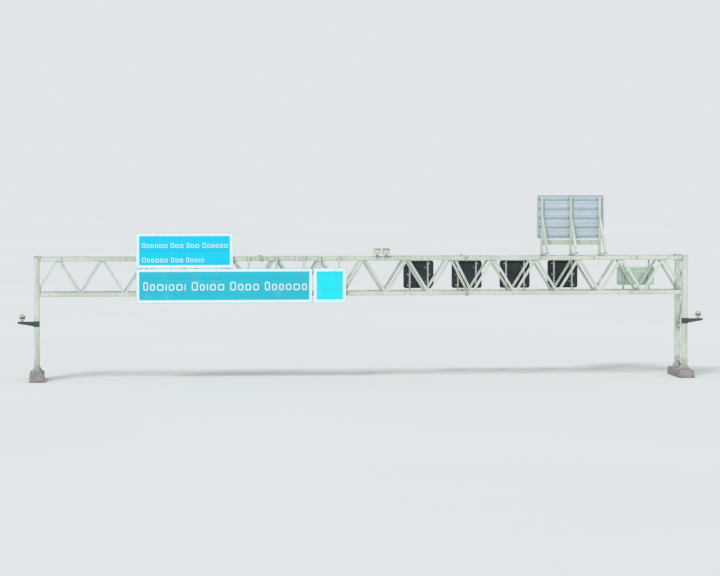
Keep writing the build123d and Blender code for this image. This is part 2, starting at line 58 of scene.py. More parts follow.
# Sizes shared with the CAD source
BAY_COUNT = 15
BAY = 1.65
HALF_SPAN = BAY_COUNT * BAY / 2
SIDE_Y = 0.65
TRUSSES = (-SIDE_Y, SIDE_Y)
BOTTOM_CHORD = 3.27
TOP_CHORD = 4.595
CHORDS = (BOTTOM_CHORD, TOP_CHORD)
CHORD = 0.15
CHORD_FACE = 0.725
WEB = 0.09
BRACE = 0.06
BRACE_SETBACK = 0.15
SITE_BRACE_SETBACK = 0.17
END_BAYS = 5
FLANGE_THICK = 0.015
BOTTOM_SPLICE = 3.925
TOP_SPLICE = 3.9
TRUSS_END = 12.26
END_PLATE_TOP = 3.599
COLUMN = 0.2
COLUMN_CORNER = 0.018
PLINTH_TOP = 0.3
BASE_PLATE_TOP = 0.325
LEG_STRUTS = (0.63, 1.95) + CHORDS
LEG_STRUT = 0.1
POST = 0.08
TALL_POSTS = (-8.25, -6.825, -5.4)
SHORT_POSTS = (-4.4, -3.35, -2.3)
END_POSTS = (-1.71, -0.97)
POST_BRACKET_FACE = -0.745
POST_FRONT = -0.825
REAR_POST_FACE = 0.7
REAR_FRAMES = (7.035, 8.165, 9.295)
FRAME_BAR = 0.1
FRAME_FOOT_TOP = 4.685
RAIL_EDGE = 0.13
PANEL_SHEET = 0.012
PANEL_LIP = 0.008
PANEL_RADIUS = 0.07
SIGNAL_RAIL = 0.06
SIGNAL_RAIL_X = 0.35
MESSAGE_RAIL_X = 0.5
SIGNAL_HEIGHT = 1.05
SIGNAL_BACK = 0.765
SIGNAL_DOOR = 0.015
SIGNAL_FACE = 0.905
MESSAGE_FACE = 0.915
RECESS = 0.018
LAMP_X = 0.415
LAMP_Z = 0.365
DETECTORS = (0.495, 0.835)
DETECTOR_HALF_DEPTH = 0.19
DETECTOR_HALF_WIDTH = 0.125
WINDOW_DROP = 0.125
SADDLE_THICK = 0.015
ARM_TOP = 2.26
ARM_PLATE = 0.015
DOME_X = 12.905

# Sizes of what is added here. Each OUT is how far a piece stands out of its face
SINK = 0.0005
BOLT = 0.0133
FLANGE_BOLT = 0.0925
WELD = 0.009
BORDER = 0.11
BORDER_INSET = 0.01
LEAST_RADIUS = 0.02
HALF_SEAM = 0.001
TRIM_ROOT = 0.0025
PLANK_OUT = 0.003
BORDER_OUT = 0.0042
MARK_OUT = 0.0044
DIODE_PITCH = 0.031

# Section of a weld at its toe, crest and root: growth of the outline, and distance out
WELD_SECTION = ((2 * WELD, -SINK), (0.001, WELD), (-0.004, -SINK))

# Marks on the signs, in shares of the height of a row, and letters in a word
STROKE = 0.14
LOW_MARK = 0.76
MARK_GAP = 0.24
WORD_GAP = 0.45
MARK_WIDTHS = (0.56, 0.78)
NARROW_SHARE = 0.12
WORD_LENGTHS = (3, 7)

# Colours as they show on a screen, in hexadecimal: a surface's own, then those of its patches
STEEL = "d3dace", "c5cec2"
# Grime in runs, also laid in joints and corners as painted shade
GRIME_AND_SHADE = "7e8374"
LICHEN = "969c76"
DUST = "585c5a"
PRIMER = "847062"
ZINC = "b2b8ba"
ZINC_DARK = "92989c"
RAIL = "ccd2d4", "bac1c4"
BLUE = "08d4f3", "05caed"
BRIGHT = "04e9f5", "04e1ef"
TEAL = "1cc4d9", "16bbd1"
WHITE = "e4f0f2", "d6e6e9"
BACK = "c6d6df", "bbcbd5"
BACK_BLOOM = "cfdce3"
SIGNAL = "2c3338", "242a30"
BOARD = "141618", "1c1e20"
MESSAGE = "c8dac6", "bbcebb"
DETECTOR = "d2dece", "c4d0c4"
RADOME = "dae0d6", "ced5cb"
ARM = "425a4a", "384e42"
# Grime on the camera arm, also laid in its joints and corners as painted shade
ARM_GRIME_AND_SHADE = "2c342a"
DOME = "bec5b4", "b0b8a8"
CONCRETE = "a69e9e", "8c8484", "b4aeaa"
# Rain stains on concrete, also laid in corners and air holes as painted shade
STAIN_AND_SHADE = "68645a"
SOIL = "787060"
AMBER = "ce7e12", "b0600c"
GLASS = "1e242a", "12161c"
DIODE = "5c5442", "423e36"
FLOOR = "e2e4e4", "e0e2e2"
BACKGROUND = "e1e5e7"

# Stage and light
FLOOR_RADIUS = 900.0
SKY = (0.94, 0.97, 1.0, 1.0)
SKY_STRENGTH = 0.66
SUN_PLACE = Vector((-0.55, -0.95, 1.05))
SUN_STRENGTH = 1.72
SUN_WIDTH = radians(14)

# Camera: the photograph's standpoint, with a longer lens, so the gantry fills the frame
CAMERA_PLACE = Vector((-10.9, -106.0, 7.75))
CAMERA_TARGET = Vector((-0.1, 0.0, 3.45))
CAMERA_ANGLE = radians(14.7)
CAMERA_REACH = 2000.0


# Outlines and meshes


def ring_polygon(radius, sides, centre=(0.0, 0.0)):
    """Corners of a regular polygon."""
    angles = [i * (2 * pi / sides) for i in range(sides)]
    return [(centre[0] + radius * cos(a), centre[1] + radius * sin(a)) for a in angles]


def rectangle(width, height, centre):
    """Corners of a rectangle."""
    u, v = width / 2, height / 2
    return [(centre[0] + i * u, centre[1] + j * v) for i, j in CORNERS]


def cut_square(width, corner, centre):
    """Points round a square with its corners cut off."""
    half = width / 2
    pair = [(half, corner - half), (half, half - corner)]
    points = []
    for _ in range(4):
        points += pair
        pair = [(-v, u) for u, v in pair]
    return [(centre[0] + u, centre[1] + v) for u, v in points]


def rounded_rectangle(width, height, radius, centre, steps=6):
    """Points round a rectangle with rounded corners."""
    points = []
    for quarter, (i, j) in enumerate(CORNERS):
        for step in range(steps + 1):
            angle = (quarter + step / steps) * pi / 2
            u = centre[0] + i * (width / 2 - radius) + radius * cos(angle)
            v = centre[1] + j * (height / 2 - radius) + radius * sin(angle)
            points.append((u, v))
    return points


def clip_band(points, low, high):
    """The part of a convex outline between two heights."""
    for limit, way in ((low, 1), (high, -1)):
        kept = []
        for (u0, v0), (u1, v1) in zip(points, points[1:] + points[:1]):
            inside, next_inside = way * (v0 - limit) >= 0, way * (v1 - limit) >= 0
            if inside:
                kept.append((u0, v0))
            if inside != next_inside:
                kept.append((u0 + (limit - v0) / (v1 - v0) * (u1 - u0), limit))
        points = kept
    return points


def upright(y, way):
    """Maps (across, up, out) onto an upright plane at y that faces way along Y."""
    return Matrix(((1, 0, 0, 0), (0, 0, way, y), (0, 1, 0, 0), (0, 0, 0, 1)))


def level(z, way=1):
    """Maps (x, y, out) onto a level plane at z that faces up, or down where way is -1."""
    return Matrix(((1, 0, 0, 0), (0, 1, 0, 0), (0, 0, way, z), (0, 0, 0, 1)))


def crosswise(x, way):
    """Maps (y, z, out) onto a plane across the span at x that faces way along X."""
    return Matrix(((0, 0, way, x), (1, 0, 0, 0), (0, 1, 0, 0), (0, 0, 0, 1)))


def middle(node_name):
    """The middle of a CAD node's box along X and Z."""
    low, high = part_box(node_name)
    return (low.x + high.x) / 2, (low.z + high.z) / 2


def new_meshes(count):
    """Empty meshes to build in."""
    return [bmesh.new() for _ in range(count)]


def add_skin(bm, place, rows, closed=False):
    """Joins rows of points with quads, with caps at the ends or closed into a loop."""
    rows = [[bm.verts.new(place @ Vector(point)) for point in row] for row in rows]
    pairs = list(zip(rows, rows[1:])) + ([(rows[-1], rows[0])] if closed else [])
    faces = []
    for low, high in pairs:
        for i in range(len(low)):
            j = (i + 1) % len(low)
            faces.append(bm.faces.new((low[i], low[j], high[j], high[i])))
    if not closed:
        faces += [bm.faces.new(rows[0][::-1]), bm.faces.new(rows[-1])]
    return faces


def add_loft(bm, place, rings, closed=False):
    """A skin over rings, each of them (outline, height)."""
    return add_skin(bm, place, [[(u, v, height) for u, v in outline] for outline, height in rings], closed)


def add_frame(bm, place, outer, inner, low, high):
    """A flat frame between two outlines with as many points each."""
    add_loft(bm, place, ((outer, low), (outer, high), (inner, high), (inner, low)), closed=True)


def add_plate(bm, place, width, height, centre, low, high):
    """A plate with its outer edges broken."""
    edge = 0.001
    outer, inner = rectangle(width, height, centre), rectangle(width - 2 * edge, height - 2 * edge, centre)
    add_loft(bm, place, ((outer, low), (outer, high - edge), (inner, high)))


def add_disc(bm, place, centre, levels, sides):
    """A turned piece: rings of the given radii and heights, closed at both ends."""
    add_loft(bm, place, [(ring_polygon(radius, sides, centre), height) for radius, height in levels])


def add_hoop(bm, place, centre, ring, sides=24):
    """A flat ring: the radius outside and inside, and the height of its foot and top."""
    outer, inner, low, high = ring
    add_frame(bm, place, ring_polygon(outer, sides, centre), ring_polygon(inner, sides, centre), low, high)


def add_bolt(bm, place, centre, size=BOLT, thread=0.0):
    """A washer and a chamfered hexagon of that radius, with a threaded end where one stands out."""
    washer, washer_top, shoulder, top = 1.35 * size, 0.18 * size, 0.8 * size, 0.92 * size
    add_disc(bm, place, centre, ((washer, -2 * SINK), (washer, washer_top)), sides=12)
    add_disc(bm, place, centre, ((size, washer_top), (size, shoulder), (0.84 * size, top)), sides=6)
    if thread:
        stem, end = 0.5 * size, top + thread
        tip = ((stem, 0.9 * size), (stem, end - 0.2 * stem), (0.75 * stem, end))
        add_disc(bm, place, centre, tip, sides=8)


def add_bolts(bm, place, centre, reach, size=BOLT, thread=0.0):
    """Four bolts round a centre, that far from it along each axis."""
    for i, j in CORNERS:
        add_bolt(bm, place, (centre[0] + i * reach[0], centre[1] + j * reach[1]), size, thread)


def add_angle(cleats, bolts, corner, ways, size, low, bolting):
    """An angle cleat between an upright face at y and one across the span at x, with its bolts."""
    x, y, z = corner
    side, way = ways
    leg, thick, tall = size
    heights, out, bolt = bolting
    add_plate(cleats, upright(y, way), leg, tall, (x + side * leg / 2, z), low, thick)
    add_plate(cleats, crosswise(x, side), leg, tall, (y + way * leg / 2, z), low, thick)
    for v in heights:
        add_bolt(bolts, upright(y + way * thick, way), (x + side * out, z + v), bolt)
        add_bolt(bolts, crosswise(x + side * thick, side), (y + way * out, z + v), bolt)


def add_object(name, bm, material, smooth=None):
    """Turns a finished bmesh into an object. Smooth is the angle above which edges stay sharp."""
    bmesh.ops.recalc_face_normals(bm, faces=bm.faces[:])
    mesh = bpy.data.meshes.new(name)
    bm.to_mesh(mesh)
    bm.free()
    if smooth:
        mesh.shade_smooth()
        mesh.set_sharp_from_angle(angle=radians(smooth))
    mesh.materials.append(material)
    made = bpy.data.objects.new(name, mesh)
    bpy.context.scene.collection.objects.link(made)
    return made


def add_piece(name, bm, material, smooth=None):
    """Turns a finished bmesh into a piece of the gantry."""
    piece = add_object(name, bm, materials[material], smooth)
    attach(piece, "root")


# Materials


def linear(colour):
    """A screen colour as the linear colour that a shader takes."""
    channels = [c / 255 for c in bytes.fromhex(colour)]
    return tuple(c / 12.92 if c <= 0.04045 else ((c + 0.055) / 1.055) ** 2.4 for c in channels) + (1.0,)


def add_node(tree, kind, inputs=None, **settings):
    """A new shader node, with its inputs set to constants or joined to other nodes."""
    made = tree.nodes.new("ShaderNode" + kind)
    for name, value in settings.items():
        setattr(made, name, value)
    for key, value in (inputs or {}).items():
        if isinstance(value, bpy.types.NodeSocket):
            tree.links.new(value, made.inputs[key])
        else:
            made.inputs[key].default_value = value
    return made


class Shading:
    """A material being made: its node tree, its colour so far and its surface coordinates."""

    def __init__(self, name, colour, **constants):
        self.material = bpy.data.materials.new(name)
        self.material.use_nodes = True
        self.tree = self.material.node_tree
        self.node = partial(add_node, self.tree)
        self.shader = self.tree.nodes["Principled BSDF"].inputs
        for socket, value in constants.items():
            self.shader[socket.replace("_", " ")].default_value = value
        self.colour = linear(colour)
        self.place = self.node("TexCoord").outputs["Object"]
        self.normal = self.node("NewGeometry").outputs["Normal"]

    def cover(self, mask, colour):
        """Lays a colour over what is there: none of it where the mask is 0, all where it is 1."""
        inputs = {0: mask, 6: self.colour, 7: linear(colour)}
        self.colour = self.node("Mix", inputs, data_type="RGBA").outputs[2]

    def finish(self, **driven):
        """Joins the colour and other values to the shader, and gives the material."""
        for socket, value in {"Base Color": self.colour, **driven}.items():
            self.tree.links.new(value, self.shader[socket])
        return self.material

    def maths(self, operation, a, b):
        """One sum with two values."""
        return self.node("Math", {0: a, 1: b}, operation=operation).outputs[0]

    def times(self, a, b):
        """The product of two values."""
        return self.maths("MULTIPLY", a, b)

    def ramp(self, value, start, end, low=0.0, high=1.0):
        """Runs smoothly from low to high as value goes from start to end."""
        inputs = {0: value, 1: start, 2: end, 3: low, 4: high}
        return self.node("MapRange", inputs, interpolation_type="SMOOTHSTEP").outputs[0]

    def noise(self, scale, detail=4.0, stretch=(1.0, 1.0, 1.0), shift=0.0):
        """Cloudy noise with that many features a metre, along each axis by stretch."""
        inputs = {"Vector": self.place, "Scale": stretch, "Location": (shift, shift, shift)}
        mapped = self.node("Mapping", inputs).outputs[0]
        return self.node("TexNoise", {"Vector": mapped, "Scale": scale, "Detail": detail}).outputs[0]

    def runs(self, scale, upright_scale, shift):
        """Noise drawn out down the walls, like the marks that rain leaves."""
        return self.noise(scale, detail=5.0, stretch=(1.0, 1.0, upright_scale), shift=shift)

    def height(self):
        """Height above the ground."""
        return self.node("SeparateXYZ", {0: self.place}).outputs[2]

    def corners(self, reach):
        """A mask, 1 deep in joints and corners: dirt gathers there, and a darker colour laid on it is
        painted shade.
        """
        # Ambient occlusion: how enclosed a point is, which is where shade falls
        clear = self.node("AmbientOcclusion", {"Distance": reach}, samples=4).outputs["AO"]
        return self.ramp(clear, 0.9, 0.4)

    def facing_up(self):
        """1 on surfaces that face up, 0 on upright ones."""
        up = self.node("SeparateXYZ", {0: self.normal}).outputs[2]
        return self.ramp(up, 0.35, 0.95)

    def rounded(self, radius):
        """The normal with the edges rounded to that radius."""
        return self.node("Bevel", {"Radius": radius}, samples=4).outputs[0]

    def edges(self, rounded):
        """A mask that is 1 along sharp outer edges, where the rounded normal turns away."""
        turn = self.node("VectorMath", {0: rounded, 1: self.normal}, operation="DOT_PRODUCT")
        return self.ramp(turn.outputs["Value"], 0.995, 0.93)

    def bump(self, height, strength, distance, normal=None):
        """A normal that follows a relief, with the edges rounded where a rounded normal is given."""
        inputs = {"Height": height, "Strength": strength, "Distance": distance}
        if normal:
            inputs["Normal"] = normal
        return self.node("Bump", inputs).outputs[0]


def make_paint(
    name, tints, grime_and_shade, bare, lying=LICHEN, streaks=0.5, settled=0.55, wear=0.65, rough=(0.36, 0.6)
):
    """Painted metal: two close tints, grime runs, dirt and painted shade in corners, dirt on upward faces,
    worn edges.
    """
    s = Shading(name, tints[0], Specular_IOR_Level=0.45)
    s.cover(s.ramp(s.noise(0.55, 3.0), 0.42, 0.6), tints[1])
    fine = s.noise(7.0, 6.0, shift=3.0)
    s.cover(s.ramp(fine, 0.48, 0.72, 0.0, 0.35), tints[1])
    washed = s.ramp(s.noise(0.9, 2.0, shift=5.0), 0.4, 0.62)
    runs = s.times(s.ramp(s.runs(9.0, 0.07, 11.0), 0.52, 0.74), washed)
    s.cover(s.times(runs, streaks), grime_and_shade)
    # Corners and joints take the grime colour: dirt, and painted shade where that colour is darker than the
    # paint
    corner_dirt_and_shade = s.times(s.corners(0.05), s.ramp(s.noise(8.0, 5.0, shift=13.0), 0.3, 0.6, 0.3, 1.0))
    s.cover(s.times(corner_dirt_and_shade, streaks), grime_and_shade)
    spray = s.maths("ADD", s.height(), s.ramp(s.noise(4.0, 5.0, shift=17.0), 0.3, 0.7, -0.3, 0.3))
    s.cover(s.ramp(spray, 1.2, 0.2, 0.0, 0.35), grime_and_shade)
    film = s.times(s.facing_up(), s.ramp(s.noise(3.5, 6.0, shift=7.0), 0.34, 0.62))
    s.cover(s.times(film, settled), lying)
    rounded = s.rounded(0.004)
    chips = s.times(s.edges(rounded), s.ramp(s.noise(38.0, 4.0, shift=2.0), 0.5, 0.62))
    s.cover(s.times(chips, wear), bare)
    grain = s.maths("ADD", s.noise(420.0, 2.0), s.times(s.noise(12.0, 3.0), 2.0))
    return s.finish(Roughness=s.ramp(fine, 0.3, 0.75, *rough), Normal=s.bump(grain, 0.18, 0.0012, rounded))


def make_metal(name, tints, metallic, bloom=ZINC):
    """Bare metal: grain drawn along the span, dull patches and a pale bloom of oxide."""
    s = Shading(name, tints[0], Metallic=metallic)
    grain = s.noise(30.0, 3.0, stretch=(0.4, 6.0, 6.0))
    s.cover(s.ramp(grain, 0.35, 0.65), tints[1])
    patches = s.noise(5.0, 6.0, shift=4.0)
    s.cover(s.ramp(patches, 0.5, 0.7, 0.0, 0.6), bloom)
    relief = s.bump(grain, 0.12, 0.0006, s.rounded(0.002))
    return s.finish(Roughness=s.ramp(patches, 0.3, 0.7, 0.34, 0.58), Normal=relief)


def make_spangle(name):
    """Hot-dip zinc on bolts and clips: crystal spangle, dull roughness and a few brown spots."""
    s = Shading(name, ZINC, Metallic=0.5)
    cells = s.node("TexVoronoi", {"Vector": s.place, "Scale": 120.0}).outputs["Color"]
    tone = s.node("SeparateColor", {0: cells}).outputs[0]
    s.cover(tone, ZINC_DARK)
    s.cover(s.ramp(s.noise(26.0, 5.0), 0.6, 0.74, 0.0, 0.35), PRIMER)
    relief = s.bump(s.noise(300.0), 0.15, 0.0005)
    return s.finish(Roughness=s.ramp(tone, 0.0, 1.0, 0.4, 0.62), Normal=relief)


def make_concrete(name):
    """Cast concrete: cloudy tone, board lines, air holes, rain stains and soil splash at the foot."""
    base, dark, pale = CONCRETE
    s = Shading(name, base, Specular_IOR_Level=0.3)
    cloud = s.noise(2.6, 8.0)
    s.cover(s.ramp(cloud, 0.35, 0.66), dark)
    s.cover(s.ramp(s.noise(60.0, 6.0), 0.5, 0.7, 0.0, 0.3), pale)
    s.cover(s.ramp(s.runs(10.0, 0.1, 9.0), 0.5, 0.72, 0.0, 0.5), STAIN_AND_SHADE)
    # Painted shade, with some dirt, in the corners and joints of the concrete
    s.cover(s.times(s.corners(0.06), 0.6), STAIN_AND_SHADE)
    foot = s.maths("ADD", s.height(), s.ramp(s.noise(7.0, 5.0), 0.3, 0.7, -0.06, 0.06))
    s.cover(s.ramp(foot, 0.1, 0.0, 0.0, 0.6), SOIL)
    holes = s.node("TexVoronoi", {"Vector": s.place, "Scale": 38.0}).outputs["Distance"]
    pits = s.ramp(holes, 0.05, 0.13)
    # Painted shade in the air holes: each one darker towards its middle
    s.cover(s.maths("SUBTRACT", 1.0, pits), STAIN_AND_SHADE)
    lines = {"Vector": s.place, "Scale": 1.6, "Distortion": 0.4}
    boards = s.node("TexWave", lines, bands_direction="Z").outputs[1]
    cast = s.maths("ADD", s.times(pits, 0.5), s.maths("ADD", boards, s.noise(90.0, 6.0)))
    relief = s.bump(cast, 0.45, 0.003, s.rounded(0.006))
    return s.finish(Roughness=s.ramp(cloud, 0.3, 0.7, 0.78, 0.95), Normal=relief)


def make_sheeting(name, tints, pale):
    """Reflective sheeting: a fine lattice of cells, each plank a little different, and rain marks."""
    s = Shading(name, tints[0], Specular_IOR_Level=0.25, Coat_Weight=0.1, Coat_Roughness=0.2)
    s.cover(s.node("Attribute", attribute_name="plank").outputs["Fac"], tints[1])
    cells = {"Vector": s.place, "Scale": 95.0}
    lattice = s.node("TexVoronoi", cells, feature="DISTANCE_TO_EDGE").outputs[0]
    s.cover(s.ramp(lattice, 0.05, 0.0, 0.0, 0.16), pale)
    s.cover(s.ramp(s.runs(7.0, 0.09, 6.0), 0.55, 0.78, 0.0, 0.22), GRIME_AND_SHADE)
    # Painted shade, with some dirt, in the corners and joints of the sign face
    s.cover(s.times(s.corners(0.03), 0.35), GRIME_AND_SHADE)
    film = s.noise(1.4, 5.0, shift=8.0)
    s.cover(s.ramp(film, 0.5, 0.75, 0.0, 0.08), pale)
    return s.finish(Roughness=s.ramp(film, 0.3, 0.7, 0.26, 0.44), Normal=s.bump(lattice, 0.06, 0.0004))


def make_lens(name, tints, rough):
    """Moulded lens or dark glass: a ribbed, glossy surface with a film of dust on it."""
    s = Shading(name, tints[0], Coat_Weight=0.8, Coat_Roughness=0.05)
    dust = s.noise(40.0, 6.0)
    s.cover(s.ramp(s.noise(9.0, 2.0), 0.35, 0.65), tints[1])
    s.cover(s.ramp(dust, 0.5, 0.75, 0.0, 0.2), DUST)
    ribs = s.node("TexWave", {"Vector": s.place, "Scale": 60.0}, bands_direction="X").outputs[1]
    return s.finish(Roughness=s.ramp(dust, 0.35, 0.7, rough, rough + 0.2), Normal=s.bump(ribs, 0.1, 0.0006))


def make_floor_material():
    """Matt pale paint with a faint cloud in it."""
    s = Shading("floor_paint", FLOOR[0], Roughness=0.9, Specular_IOR_Level=0.0)
    s.cover(s.ramp(s.noise(0.05, 2.0), 0.3, 0.7), FLOOR[1])
    return s.finish()


def make_materials():
    """All materials of the gantry by name."""
    dark = dict(lying=DUST, streaks=0.25, settled=0.35, rough=(0.5, 0.72))
    return {
        "steel": make_paint("steel_paint", STEEL, GRIME_AND_SHADE, PRIMER),
        "rail": make_metal("rail_metal", RAIL, metallic=0.35),
        "back": make_metal("sign_back_sheet", BACK, metallic=0.1, bloom=BACK_BLOOM),
        "zinc": make_spangle("zinc_fasteners"),
        "concrete": make_concrete("cast_concrete"),
        "blue": make_sheeting("blue_sheeting", BLUE, BRIGHT[0]),
        "bright": make_sheeting("bright_blue_sheeting", BRIGHT, WHITE[1]),
        "teal": make_sheeting("teal_blue_sheeting", TEAL, WHITE[1]),
        "white": make_sheeting("white_sheeting", WHITE, WHITE[0]),
        "signal": make_paint("signal_paint", SIGNAL, DUST, ZINC_DARK, **dark),
        "message": make_paint("message_paint", MESSAGE, GRIME_AND_SHADE, ZINC),
        "detector": make_paint("detector_paint", DETECTOR, GRIME_AND_SHADE, ZINC),
        "radome": make_paint("radome_plastic", RADOME, GRIME_AND_SHADE, RADOME[1], rough=(0.28, 0.42)),
        "arm": make_paint("arm_paint", ARM, ARM_GRIME_AND_SHADE, ZINC_DARK),
        "dome": make_paint("dome_paint", DOME, GRIME_AND_SHADE, ZINC, wear=0.2),
        "amber": make_lens("amber_lens", AMBER, rough=0.12),
        "glass": make_lens("dark_glass", GLASS, rough=0.06),
        "diode": make_lens("light_diodes", DIODE, rough=0.2),
        "board": make_paint("display_board", BOARD, DUST, ZINC_DARK, **dark),
    }


# Signs

# Each sign: name, the way it faces, planks, channels behind, posts, plane and width of the posts
SIGNS = (
    ("upper_sign", -1, 9, 4, TALL_POSTS, POST_FRONT, POST),
    ("lower_sign", -1, 9, 4, TALL_POSTS + SHORT_POSTS, POST_FRONT, POST),
    ("end_sign", -1, 9, 4, END_POSTS, POST_FRONT, POST),
    ("rear_sign", 1, 11, 5, REAR_FRAMES, REAR_POST_FACE, FRAME_BAR),
)

# Sheeting of each sign, seed of its draws, and rows of marks: middle, height, left end and right end
SHEETS = {
    "upper_sign": ("blue", 40, ((5.115, 0.18, -8.42, -5.2), (4.567, 0.18, -8.42, -6.05))),
    "lower_sign": ("teal", 34, ((3.575, 0.32, -8.38, -2.2),)),
    "end_sign": ("bright", 31, ()),
    "rear_sign": (
        "blue", 160, ((6.58, 0.18, 7.4, 9.23), (6.19, 0.18, 7.07, 9.23), (5.75, 0.18, 8.1, 9.23))
    ),
}


def mark_places(left, right, height, seed):
    """Plain marks set out like words of print: (centre, width, height) each, from left to right."""
    draw = Random(seed)
    marks, u = [], left
    while u < right - 2 * height:
        for letter in range(draw.randint(*WORD_LENGTHS)):
            width = height * (STROKE if draw.random() < NARROW_SHARE else draw.uniform(*MARK_WIDTHS))
            tall = height if letter == 0 else height * LOW_MARK
            if u + width > right:
                return marks
            marks.append((u + width / 2, width, tall))
            u += width + height * MARK_GAP
        u += height * WORD_GAP
    return marks


def add_mark(bm, place, centre, width, tall, stroke):
    """One plain mark: an open frame with rounded corners, or a bar where it is narrow."""
    narrow = width < 3 * stroke
    outer = rounded_rectangle(width, tall, (0.3 if narrow else 1.4) * stroke, centre, steps=3)
    if narrow:
        add_loft(bm, place, ((outer, TRIM_ROOT), (outer, MARK_OUT)))
    else:
        inner = rounded_rectangle(width - 2 * stroke, tall - 2 * stroke, 0.5 * stroke, centre, steps=3)
        add_frame(bm, place, outer, inner, TRIM_ROOT, MARK_OUT)


def panel_outline(stem, inset=0.0):
    """Points round one panel, drawn in by the inset."""
    low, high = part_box(stem + "_panel")
    width, height = high.x - low.x - 2 * inset, high.z - low.z - 2 * inset
    radius = max(PANEL_RADIUS - inset, LEAST_RADIUS)
    return rounded_rectangle(width, height, radius, middle(stem + "_panel"))


def make_planks(stem, place, planks, material, seed):
    """The sheeting on one panel, plank by plank, with open seams and a tone for each."""
    low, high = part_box(stem + "_panel")
    outline = panel_outline(stem)
    draw = Random(seed)
    bm = bmesh.new()
    plank = bm.faces.layers.float.new("plank")
    pitch = (high.z - low.z) / planks
    for i in range(planks):
        bottom = low.z + i * pitch + (HALF_SEAM if i else 0.0)
        top = low.z + (i + 1) * pitch - (HALF_SEAM if i < planks - 1 else 0.0)
        band = clip_band(outline, bottom, top)
        tone = draw.random()
        for made in add_loft(bm, place, ((band, -SINK), (band, PLANK_OUT))):
            made[plank] = tone
    add_piece(stem + "_face", bm, material)


def make_border(stem, place):
    """The white border of one sign."""
    bm = bmesh.new()
    outlines = [panel_outline(stem, inset) for inset in (BORDER_INSET, BORDER_INSET + BORDER)]
    add_frame(bm, place, *outlines, TRIM_ROOT, BORDER_OUT)
    add_piece(stem + "_border", bm, "white")


def make_legend(stem, place, way, rows, seed):
    """The rows of plain marks on one sign, read from the side that it faces."""
    bm = bmesh.new()
    for number, (z, size, left, right) in enumerate(rows):
        for x, wide, tall in mark_places(left, right, size, seed + number):
            spot = (x if way < 0 else left + right - x, z - size / 2 + tall / 2)
            add_mark(bm, place, spot, wide, tall, STROKE * size)
    add_piece(stem + "_legend", bm, "white")


def make_sign_faces():
    """Sheeting, border and marks of each sign."""
    for stem, way, planks, *_ in SIGNS:
        material, seed, rows = SHEETS[stem]
        low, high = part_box(stem + "_panel")
        place = upright(low.y if way < 0 else high.y, way)
        make_planks(stem, place, planks, material, seed)
        make_border(stem, place)
        if rows:
            make_legend(stem, place, way, rows, seed)


def rail_heights(stem, count):
    """Heights of the channels behind one panel."""
    low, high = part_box(stem + "_panel")
    bottom, top = low.z + RAIL_EDGE, high.z - RAIL_EDGE
    return [bottom + (top - bottom) * i / (count - 1) for i in range(count)]


def make_cleats():
    """Angle cleats with bolts that hold each channel to each post."""
    cleats, bolts = new_meshes(2)
    leg, thick, long = 0.045, 0.005, 0.055
    bolting = ((0.0,), 0.62 * leg, 0.009)
    for stem, way, _, count, posts, y, width in SIGNS:
        for z, x, side in product(rail_heights(stem, count), posts, BOTH):
            corner = (x + side * width / 2, y, z)
            add_angle(cleats, bolts, corner, (side, -way), (leg, thick, long), 0.0, bolting)
    add_piece("sign_cleats", cleats, "zinc")
    add_piece("sign_cleat_bolts", bolts, "zinc")


def make_back_ribs():
    """Ribs along the plank joints on the back of each panel, except where a channel covers them."""
    channel_reach = 0.045
    root_height, root_gap = 0.016, 0.004
    crest_height, crest_gap, crest_out = 0.008, 0.012, 0.01
    for stem, way, planks, count, *_ in SIGNS:
        low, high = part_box(stem + "_panel")
        place = upright((low.y if way < 0 else high.y) - way * PANEL_SHEET, -way)
        x, _ = middle(stem + "_panel")
        width = high.x - low.x - 2 * PANEL_LIP
        channels = rail_heights(stem, count)
        bm = bmesh.new()
        for i in range(1, planks):
            z = low.z + (high.z - low.z) * i / planks
            if min(abs(z - channel) for channel in channels) > channel_reach:
                root = rectangle(width - root_gap, root_height, (x, z))
                crest = rectangle(width - crest_gap, crest_height, (x, z))
                add_loft(bm, place, ((root, -SINK), (crest, crest_out)))
        add_piece(stem + "_back_ribs", bm, "back")


# Steelwork


def make_splice_bolts():
    """Bolts round each chord splice, with heads on one flange and nuts on the other."""
    near, thread = 0.048, 0.008
    splices = ((BOTTOM_CHORD, BOTTOM_SPLICE), (TOP_CHORD, TOP_SPLICE))
    reaches = ((FLANGE_BOLT, FLANGE_BOLT), (FLANGE_BOLT, near), (near, FLANGE_BOLT))
    bm = bmesh.new()
    for (z, splice), side, y, reach in product(splices, BOTH, TRUSSES, reaches):
        add_bolts(bm, crosswise(side * (splice + FLANGE_THICK), side), (y, z), reach)
        add_bolts(bm, crosswise(side * (splice - FLANGE_THICK), -side), (y, z), reach, thread=thread)
    add_piece("splice_bolts", bm, "zinc")


